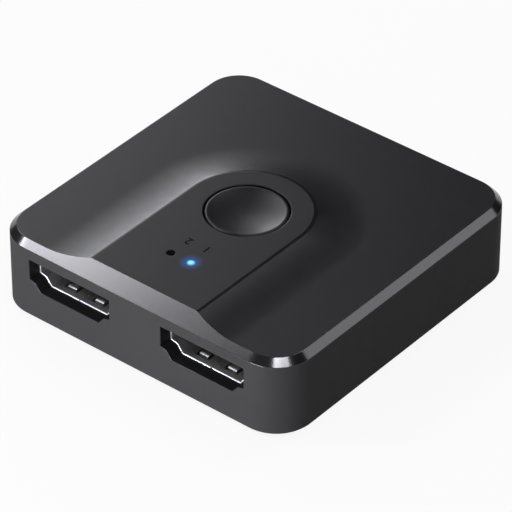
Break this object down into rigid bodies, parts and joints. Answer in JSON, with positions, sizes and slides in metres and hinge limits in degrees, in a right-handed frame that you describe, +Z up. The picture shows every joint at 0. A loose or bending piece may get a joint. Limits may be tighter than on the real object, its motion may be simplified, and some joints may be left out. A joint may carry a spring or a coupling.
{
  "type": "hdmi switch box",
  "caption": "Low square desktop HDMI switch with a raised ridge, a dished push button, indicator lights and sockets in front and behind.",
  "frame": {"origin": "on the table, under the middle of the box", "axes": "+Z up, the face with two sockets looks along -Y, +X is to the right of that face"},
  "size_m": [0.052, 0.0526, 0.0142],
  "materials": {
    "case_plastic": "satin moulded plastic, polished top chamfer",
    "base_plastic": "fine moulded texture",
    "button_plastic": "satin moulded plastic",
    "screw_steel": "zinc plated",
    "foot_rubber": "matte rubber",
    "board_laminate": "solder-masked glass-fibre laminate",
    "socket_steel": "nickel plated sheet",
    "socket_plastic": "moulded insulator",
    "contact_gold": "gold flashed",
    "switch_plastic": "moulded",
    "switch_steel": "stamped sheet",
    "plunger_plastic": "moulded",
    "tinned_lead": "tinned",
    "lit_pipe": "clear acrylic, lit from below",
    "dark_pipe": "clear acrylic, unlit",
    "led_body": "moulded",
    "chip_mould": "epoxy moulding",
    "ceramic_tan": "ceramic",
    "ceramic_black": "glazed ceramic"
  },
  "bodies": {
    "case": {"upper_case": "case_plastic", "base_plate": "base_plastic", "case_screws": "screw_steel", "rubber_feet": "foot_rubber", "circuit_board": "board_laminate", "switch_base": "switch_plastic", "switch_cover": "switch_steel", "snap_dome": "switch_steel", "switch_legs": "tinned_lead", "light_pipe_1": "lit_pipe", "light_pipe_2": "dark_pipe", "indicator_led_1": "led_body", "indicator_led_2": "led_body", "video_switch_chip": "chip_mould", "control_chip": "chip_mould", "control_chip_leads": "tinned_lead", "regulator": "chip_mould", "regulator_leads": "tinned_lead", "chip_capacitors": "ceramic_tan", "chip_resistors": "ceramic_black", "surge_arrays": "chip_mould", "front_left_shell": "socket_steel", "front_left_insulator": "socket_plastic", "front_left_contacts": "contact_gold", "front_right_shell": "socket_steel", "front_right_insulator": "socket_plastic", "front_right_contacts": "contact_gold", "rear_shell": "socket_steel", "rear_insulator": "socket_plastic", "rear_contacts": "contact_gold"},
    "button": {"button_cap": "button_plastic"},
    "plunger": {"switch_plunger": "plunger_plastic"}
  },
  "joints": [
    {"name": "button_press", "type": "slide", "parent": "case", "child": "button", "axis": [0, 0, -1], "range_m": [0, 0.0003], "stiffness_N_per_m": 4000, "deforming": ["snap_dome"]},
    {"name": "plunger_press", "type": "slide", "parent": "case", "child": "plunger", "axis": [0, 0, -1], "range_m": [0, 0.0003]}
  ],
  "couplings": [
    {"joint": "plunger_press", "follows": "button_press", "ratio": 1}
  ]
}
